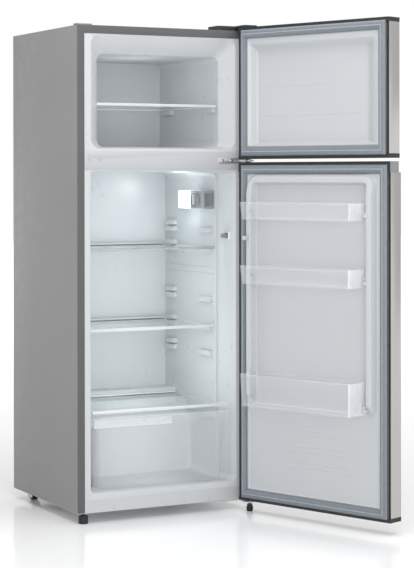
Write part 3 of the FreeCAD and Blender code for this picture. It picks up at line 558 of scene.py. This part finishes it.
def dial_scale(face_x, middle_y, middle_z):
    """Plain dots round the dial, on the housing's face."""
    for index in range(SCALE_DOTS):
        angle = math.radians(SCALE_START + index * SCALE_PITCH)
        y, z = middle_y + SCALE_RADIUS * math.cos(angle), middle_z + SCALE_RADIUS * math.sin(angle)
        eased_block(f"dial_mark_{index}", (face_x - 0.3, y - 1.1, z - 1.1), (face_x + 0.3, y + 1.1, z + 1.1),
                    0.2, "cabinet", "trim_grey", SCALE_INK)


def air_grille(low, high):
    """Zigzag strip over the housing's front, light and dark by turns: the faces turned one way are painted
    shade in the slots.
    """
    points, faces = [], []
    for k in range(SLATS * 2 + 1):
        x = low.x + 0.8 + (high.x - low.x - 1.2) * k / (SLATS * 2)
        y = low.y + (2.2 if k % 2 else -0.4)
        points += [(x, y, low.z + 1.5), (x, y, high.z - 1.5)]
        if k:
            faces.append((2 * k - 2, 2 * k, 2 * k + 1, 2 * k - 1))
    grille = made("air_grille", points, faces, "cabinet", "trim_white", material=KNOB_GREY, smooth=False)
    grille.data.materials.append(PAINTED_SHADE_DARK)
    # Every other face of the strip takes painted shade.
    for face in grille.data.polygons:
        face.material_index = face.index % 2
    grille.modifiers.new("wall", "SOLIDIFY").thickness = SLAT_WALL * MM


def controls():
    """Dial with its scale, and the slotted air grille."""
    low, high = closed_box("control_housing")
    dial_scale(low.x, *dial())
    air_grille(low, high)


# ---------------------------------------------------------------- doors
# Places are in cabinet millimetres with the doors closed.
SEAL_PROFILE = [(0, 0), (0, 1.0), (0.4, 1.4), (0.6, 3.0), (1.4, 5.4), (3.6, 8.2), (6.4, 10.2), (9.6, 11.0),
                (12.2, 11.1), (12.7, 11.7), (13.6, 11.7), (14.1, 11.1), (17.2, 10.6), (20.0, 9.2),
                (22.4, 7.0), (24.2, 4.6), (25.4, 2.4), (26, 0)]
SEAL_STRIP, SEAL_CUTS, SEAL_RISE = 6.0, 3, 0.95
FOOT_EDGE = 0.5
# Insets of the seal's rib, painted as highlight, and of its outer foot, painted as shade.
RIB, DARK_FOOT = (12.1, 14.0), 0.58
SHEET = 1.6
BEAD_X, BEAD_WIDTH, BEAD_GAP, BEAD_RISE = 236.5, 6.0, 26.5, 3.0

PAN_X, PAN_Z, PAN_DEPTH, PAN_SHARP = (-230, 230), (1059, 1354), 22.0, 9.0
PAN_SLOPES = {"left": 48, "right": 16, "bottom": 12, "top": 23}
PAN_LINES, LINE_X, LINE_HALF, LINE_RISE = (1149, 1233), (-150, 190), 3, 0.9

CREST_Y = 14
RIDGE_TOP_RISE, RIDGE_TOP_Z, RIDGE_HALF, RIDGE_CORNER, RIDGE_FOOT = 18.0, 962.0, 214.0, 22.0, 312.0
RIDGE_OUTSIDE, RIDGE_INSIDE, TOP_WIDER = (18, 6), (11.5, 5.5), 5
TOP_BLEND, FOOT_BLEND = 44, 40
EMBOSS_LINES, EMBOSS_PAIR, EMBOSS_MIDDLE, EMBOSS_BOW = (150, 196, 242), (0, 13), -30, (5, 130)
EMBOSS_RISE, EMBOSS_FADE = 0.9, (135, 95)

BIN_PLACES = ("upper", "middle", "lower")
REST_X, REST_Y, REST_Z = (199.4, 209.5), (1, 14.5), (8, 18)
STRIKER = ((209, 10, 790), (219, 34, 802))
SIDE_LIP_Y = -15.5


def seal(node):
    """Magnetic door seal: rounded bellows with a fine rib along the middle, the rib painted lighter as
    highlight and the outer foot painted near-black as shade.
    """
    low, high = closed_box(node)
    profile = rounded(SEAL_PROFILE, SEAL_CUTS)
    raised = [(inset, low.y + rise * SEAL_RISE) for inset, rise in profile]
    piece = mitred_frame(node + "_bellows", raised, low, high, body_of(node), SLOT_OF[node], [node],
                         SEAL_STRIP)
    piece.data.materials.append(SEAL_RIB_HIGHLIGHT)
    piece.data.materials.append(SEAL_FOOT_SHADE)
    for face in piece.data.polygons:
        inset = profile[face.index % len(profile)][0]
        # Faces on the rib take painted highlight, faces on the outer foot painted shade.
        face.material_index = 1 if RIB[0] < inset < RIB[1] else 2 if inset < DARK_FOOT else 0


def bead(x, z, seal_low, seal_high):
    """Height of the rounded bead just inside the seal."""
    edge = max(abs(x) - BEAD_X, seal_low + BEAD_GAP - z, z - (seal_high - BEAD_GAP))
    if not -BEAD_WIDTH < edge < 0:
        return 0.0
    return BEAD_RISE * step(0, 1, 1 - abs(2 * (edge + BEAD_WIDTH / 2) / BEAD_WIDTH))


def pan_depth(x, z, base):
    """Front of the freezer door's panel inside its bead: a bevelled pan with two fine lines."""
    ramps = ((x - PAN_X[0]) / PAN_SLOPES["left"], (PAN_X[1] - x) / PAN_SLOPES["right"],
             (z - PAN_Z[0]) / PAN_SLOPES["bottom"], (PAN_Z[1] - z) / PAN_SLOPES["top"])
    near = -math.log(sum(math.exp(-PAN_SHARP * min(3.0, r)) for r in ramps)) / PAN_SHARP
    y = base - PAN_DEPTH * step(-0.06, 1.02, near)
    for line in PAN_LINES:
        if abs(z - line) < LINE_HALF and LINE_X[0] < x < LINE_X[1]:
            y += LINE_RISE * (1 - abs(z - line) / LINE_HALF)
    return y


def freezer_panel():
    """Freezer door's inner panel and the foam behind it."""
    low, high = closed_box("freezer_door_liner")
    seal_low, seal_high = closed_box("freezer_door_gasket")

    def depth(x, z):
        return pan_depth(x, z, seal_low.y) + bead(x, z, seal_low.z, seal_high.z)

    xs = stations((low.x, -238, 6), (-238, -178, 1.5), (-178, 210, 6), (210, 238, 1.3), (238, high.x, 6))
    zs = stations((low.z, 1054, 3), (1054, 1074, 1.1), (1074, 1145, 5), (1145, 1153, 1), (1153, 1229, 5),
                  (1229, 1237, 1), (1237, 1325, 5), (1325, 1361, 1.4), (1361, high.z, 4))
    formed_sheet("freezer_door_panel", "freezer_door_liner", xs, zs, depth, SHEET)
    foam_fill("freezer_door_foam", xs, zs, depth)


def ridge(x, z, crest_rise):
    """Height of the fridge door's dykes, joined over the top by a lower ridge."""
    over_x, over_z = abs(x) - (RIDGE_HALF - RIDGE_CORNER), z - (RIDGE_TOP_Z - RIDGE_CORNER)
    if over_x > 0 and over_z > 0:
        off = math.hypot(over_x, over_z) - RIDGE_CORNER
    else:
        off = max(abs(x) - RIDGE_HALF, z - RIDGE_TOP_Z)
    upper = step(RIDGE_TOP_Z - TOP_BLEND, RIDGE_TOP_Z, z)
    rise = crest_rise + (RIDGE_TOP_RISE - crest_rise) * upper
    inner = RIDGE_INSIDE[0] + TOP_WIDER * upper
    fall = step(*RIDGE_OUTSIDE, off) if off > 0 else step(inner, RIDGE_INSIDE[1], -off)
    return rise * fall * step(RIDGE_FOOT, RIDGE_FOOT + FOOT_BLEND, z)


def emboss(x, z):
    """Height of the faint bowed lines low on the fridge door's panel."""
    aside = x - EMBOSS_MIDDLE
    rise = 0.0
    for line in EMBOSS_LINES:
        for shift in EMBOSS_PAIR:
            arc = line + shift + EMBOSS_BOW[0] * (1 - (aside / EMBOSS_BOW[1]) ** 2)
            rise += EMBOSS_RISE * step(3, 0, abs(z - arc)) * step(*EMBOSS_FADE, abs(aside))
    return rise


def fridge_panel():
    """Fridge door's inner panel and the foam behind it."""
    low, high = closed_box("fridge_door_liner")
    seal_low, seal_high = closed_box("fridge_door_gasket")
    base = seal_low.y

    def depth(x, z):
        return base + ridge(x, z, CREST_Y - base) + bead(x, z, seal_low.z, seal_high.z) + emboss(x, z)

    xs = stations((-high.x, -238, 6), (-238, -196, 1.5), (-196, 196, 8), (196, 238, 1.5), (238, high.x, 6))
    zs = stations((low.z, 66, 5), (66, 78, 1.5), (78, 140, 8), (140, 268, 1.6), (268, 306, 6), (306, 356, 2),
                  (356, 900, 16), (900, 985, 1.7), (985, high.z, 3))
    formed_sheet("fridge_door_panel", "fridge_door_liner", xs, zs, depth, SHEET)
    foam_fill("fridge_door_foam", xs, zs, depth)


def bin_rests():
    """Blocks on the dykes that carry the bins, and the block that works the lamp switch."""
    for name in BIN_PLACES:
        bin_z = closed_box("door_bin_" + name)[0].z
        for side_name, sign in (("left", -1), ("right", 1)):
            left, right = sorted((sign * REST_X[0], sign * REST_X[1]))
            eased_block(f"bin_rest_{name}_{side_name}", (left, REST_Y[0], bin_z + REST_Z[0]),
                        (right, REST_Y[1], bin_z + REST_Z[1]), 1.5, "fridge_door", "door_liner_white")
    eased_block("lamp_switch_striker", *STRIKER, 1.5, "fridge_door", "door_liner_white")


def door_shells():
    """Steel skins with dark folded edges, seals and end caps."""
    lips = (MATERIALS["cap_dark"], lambda n, p: p.y > SIDE_LIP_Y)
    for door in ("freezer_door", "fridge_door"):
        eased(door + "_skin", 0.5, [lips])
        seal(door + "_gasket")
    eased("freezer_door_caps", 0.8)
    eased("fridge_door_bottom_cap", 0.8)
    eased("fridge_door_grip_cap", 1.0, [(MATERIALS["cap_dark"], lambda n, p: n.y > 0.7 or n.z > 0.7)])


def bins():
    """Clear door bins with brighter rims and a frosted left end."""
    for place in BIN_PLACES:
        node = "door_bin_" + place
        low, high = closed_box(node)
        rim = (BIN_EDGE, lambda n, p: n.z > 0.7 and p.z > high.z - 6)
        ends = (FROSTED, lambda n, p: n.x < -0.7 and p.x < low.x + 12)
        eased(node, 0.9, [rim, ends], edge=BIN_EDGE)


# ---------------------------------------------------------------- camera, floor and light
FLOOR_SIZE = 40
GLOW_FROM, GLOW_STRENGTH = (1.2, 6.0), (0.05, 0.6)
SURROUNDINGS, BACKDROP = 0.75, 1.0
LAMP_WHITE = (0.93, 1.0, 0.99)
LAMP_PLACE = (165, 231, 903)
GLOWS = {
    "top": ((-40, 200, 870), 0.75), "middle": ((0, 160, 645), 0.75), "lower": ((0, 130, 420), 0.95),
    "drawer": ((0, 110, 180), 0.35), "freezer": ((-20, 170, 1240), 0.5),
}
EYE = (-2279.8, -4606.1, 977.7)
YAW, PITCH, ROLL = math.radians(27.68), math.radians(-0.321), math.radians(-0.064)
SENSOR_WIDTH, LENS, LENS_SHIFT = 36, 113.91, -0.175


def aimed(item, place, aim):
    """Puts a light or camera object at a place, looking at another."""
    item.location = place
    item.rotation_euler = (aim - place).to_track_quat("-Z", "Y").to_euler()
    bpy.context.scene.collection.objects.link(item)


def softbox(name, place, aim, size, power, colour=(1, 1, 1)):
    light = bpy.data.lights.new(name, "AREA")
    light.shape, light.size, light.size_y = "RECTANGLE", size[0], size[1]
    light.energy, light.color = power, colour
    aimed(bpy.data.objects.new(name, light), place, aim)


def glow(name, place, power, colour):
    """Soft light spread through a compartment."""
    light = bpy.data.lights.new(name, "POINT")
    light.shadow_soft_size, light.energy, light.color = 0.1, power, colour
    item = bpy.data.objects.new(name, light)
    item.location = place
    item.visible_camera = item.visible_glossy = False
    bpy.context.scene.collection.objects.link(item)


def white_floor():
    """White floor that brightens with distance."""
    bpy.ops.mesh.primitive_plane_add(size=FLOOR_SIZE, location=(MIDDLE_X, FRONT_Y, 0))
    floor = bpy.context.object
    floor.name = "floor"
    white = Surface("floor_white", grey(0.86), 0.14, Specular_IOR_Level=0.45,
                    Emission_Color=(1, 1, 1, 1))
    white.brighten_far(GLOW_FROM, GLOW_STRENGTH)
    floor.data.materials.append(white.vary_roughness(3, 0.03).material)


def surroundings():
    """White world, brighter where the camera sees it than where it lights the object."""
    world = bpy.data.worlds.new("studio")
    bpy.context.scene.world = world
    world.use_nodes = True
    nodes, links = world.node_tree.nodes, world.node_tree.links
    shade, white = nodes["Background"], nodes.new("ShaderNodeBackground")
    for background, strength in ((shade, SURROUNDINGS), (white, BACKDROP)):
        background.inputs["Color"].default_value = (1, 1, 1, 1)
        background.inputs["Strength"].default_value = strength
    path, mix = nodes.new("ShaderNodeLightPath"), nodes.new("ShaderNodeMixShader")
    links.new(path.outputs["Is Camera Ray"], mix.inputs[0])
    links.new(shade.outputs[0], mix.inputs[1])
    links.new(white.outputs[0], mix.inputs[2])
    links.new(mix.outputs[0], nodes["World Output"].inputs["Surface"])


def lights():
    """Soft overhead and front light, the fridge's lamp and the glow in each compartment."""
    softbox("overhead", cab(0, -600, 3200), cab(0, -300, 0), (3.0, 3.0), 70)
    softbox("front", cab(-1500, -3900, 1250), cab(0, 0, 750), (2.4, 2.4), 70)
    lamp = cab(*LAMP_PLACE)
    softbox("fridge_lamp", lamp, cab(-150, 330, 820), (0.1, 0.05), 0.14, LAMP_WHITE)
    softbox("fridge_lamp_up", lamp, cab(170, 231, 1200), (0.06, 0.04), 0.12, LAMP_WHITE)
    softbox("fridge_lamp_down", cab(176, 231, 862), cab(186, 231, 700), (0.06, 0.04), 0.018, LAMP_WHITE)
    for name, (place, power) in GLOWS.items():
        glow(name + "_glow", cab(*place), power, LAMP_WHITE)


def camera():
    """Camera at the height and angle of the eye, its lens shifted down."""
    lens = bpy.data.cameras.new("camera")
    lens.sensor_width, lens.lens, lens.shift_y = SENSOR_WIDTH, LENS, LENS_SHIFT
    view = bpy.data.objects.new("camera", lens)
    turns = (Matrix.Rotation(-YAW, 4, "Z") @ Matrix.Rotation(math.pi / 2 + PITCH, 4, "X")
             @ Matrix.Rotation(ROLL, 4, "Z"))
    view.matrix_world = Matrix.Translation(cab(*EYE)) @ turns
    bpy.context.scene.collection.objects.link(view)
    bpy.context.scene.camera = view


camera()
cabinet()
shelves()
drawer()
controls()
door_shells()
freezer_panel()
fridge_panel()
bin_rests()
bins()
white_floor()
surroundings()
lights()
bpy.context.scene.view_settings.view_transform = "Standard"
